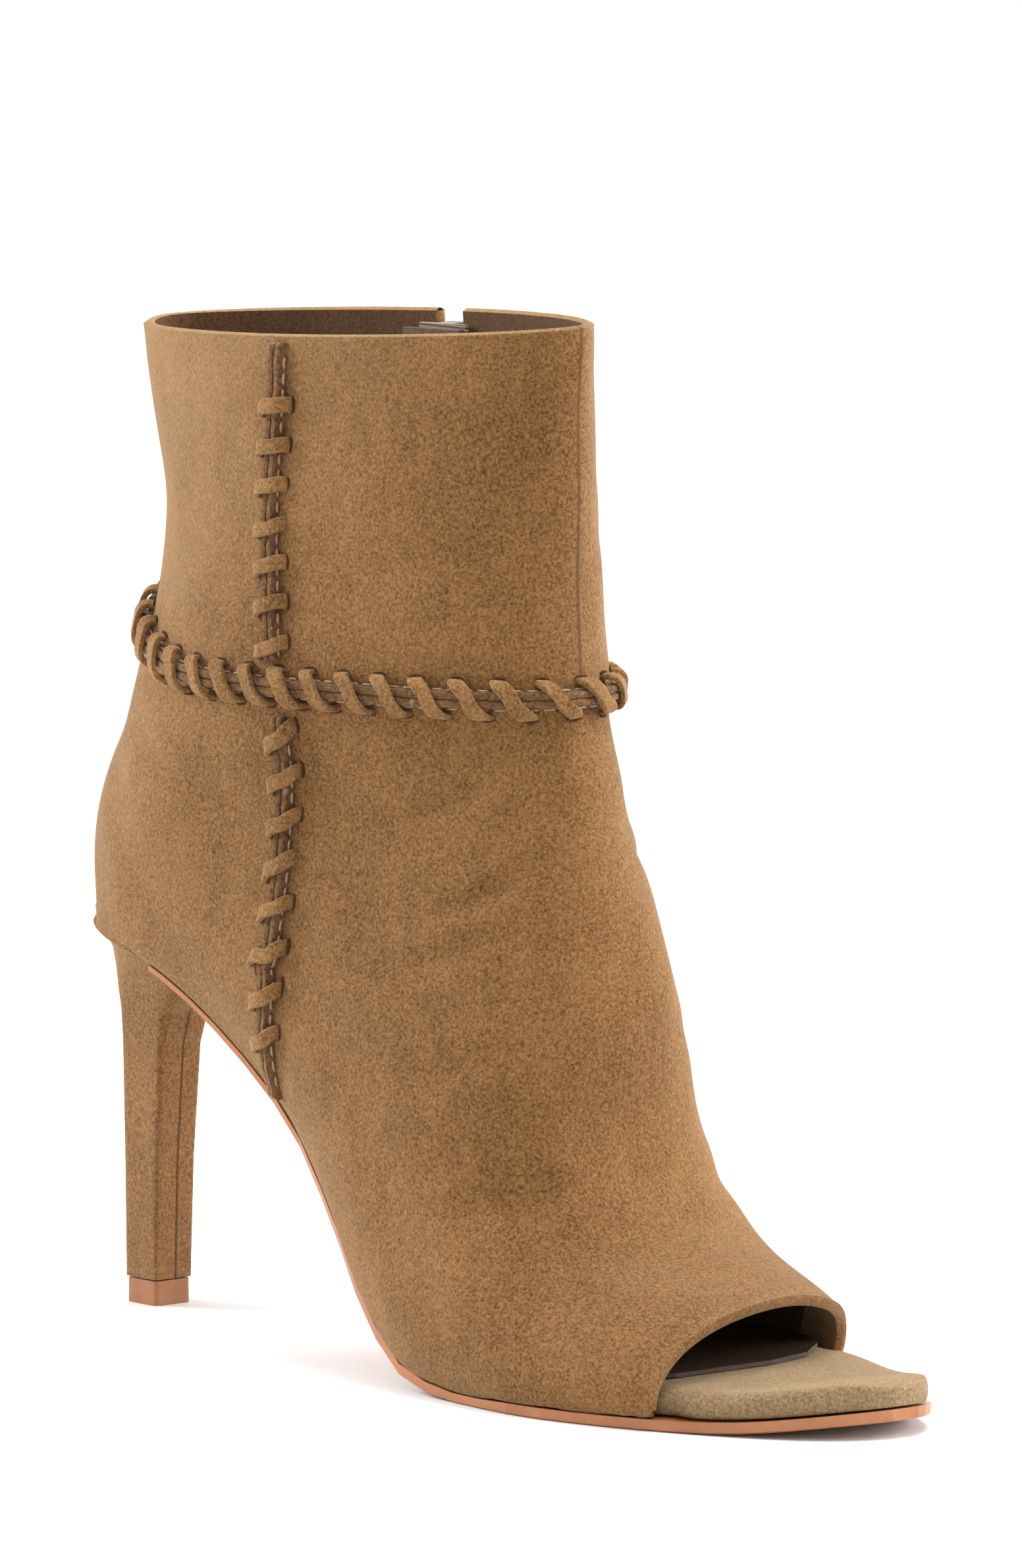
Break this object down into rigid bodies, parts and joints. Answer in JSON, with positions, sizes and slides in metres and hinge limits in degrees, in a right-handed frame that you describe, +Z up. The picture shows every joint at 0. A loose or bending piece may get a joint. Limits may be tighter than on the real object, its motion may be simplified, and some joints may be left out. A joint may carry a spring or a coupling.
{
  "type": "peep toe ankle boot",
  "caption": "Right peep toe ankle boot: hollow suede upper with raised laced seams and an inside zip, padded insole, thin sole, high slim covered heel.",
  "frame": {"origin": "middle of the heel top lift's worn face, on the floor", "axes": "+X from the heel towards the toe, +Y towards the medial side of the right foot, +Z up"},
  "size_m": [0.2176, 0.0744, 0.1965],
  "materials": {
    "upper_suede": "brushed suede nap",
    "edge_suede": "cut suede edge",
    "lace_suede": "flat suede lace",
    "heel_suede": "suede cover",
    "insole_suede": "pale suede",
    "sock_leather": "smooth",
    "sole_leather": "waxed edge",
    "lift_rubber": "amber rubber",
    "zip_tape": "woven tape with metal teeth",
    "zip_metal": "polished",
    "guard_leather": "smooth with a suede edge"
  },
  "bodies": {
    "boot": {"upper": "upper_suede", "outsole": "sole_leather", "insole": "insole_suede", "sock_lining": "sock_leather", "heel": "heel_suede", "heel_top_lift": "lift_rubber", "side_seam_lower": "edge_suede", "side_seam_upper": "edge_suede", "ankle_seam": "edge_suede", "side_lace_lower": "lace_suede", "side_lace_upper": "lace_suede", "ankle_lace": "lace_suede", "zip_tape": "zip_tape", "zip_guard": "guard_leather", "zip_slider": "zip_metal"},
    "pull": {"zip_pull": "zip_metal"}
  },
  "joints": [
    {"name": "pull_swing", "type": "hinge", "parent": "boot", "child": "pull", "pos_m": [0.06312, 0.02635, 0.18857], "axis": [0.9996, 0.0064, 0.0273], "range_deg": [0, 150]}
  ]
}
